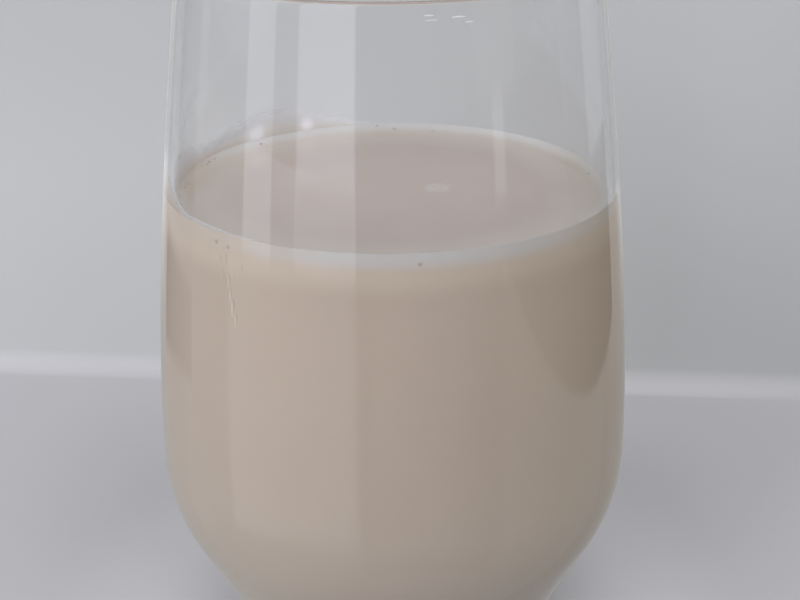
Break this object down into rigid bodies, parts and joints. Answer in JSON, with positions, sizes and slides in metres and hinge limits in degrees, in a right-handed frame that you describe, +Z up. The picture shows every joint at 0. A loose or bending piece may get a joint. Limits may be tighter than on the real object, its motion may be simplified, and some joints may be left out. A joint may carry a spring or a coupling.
{
  "type": "glass of almond milk",
  "caption": "Clear stemless drinking glass with a rounded belly and a narrower rim, filled past its middle with pale beige almond milk.",
  "frame": {"origin": "centre of the foot, on the plane that the glass stands on", "axes": "+Z up along the axis of the glass, -Y towards the viewer, +X to the viewer's right"},
  "size_m": [0.086, 0.086, 0.124],
  "materials": {
    "clear_glass": "polished, colourless",
    "almond_milk": "wet, opaque pale beige liquid"
  },
  "bodies": {
    "root": {"glass": "clear_glass", "almond_milk": "almond_milk"}
  },
  "joints": []
}
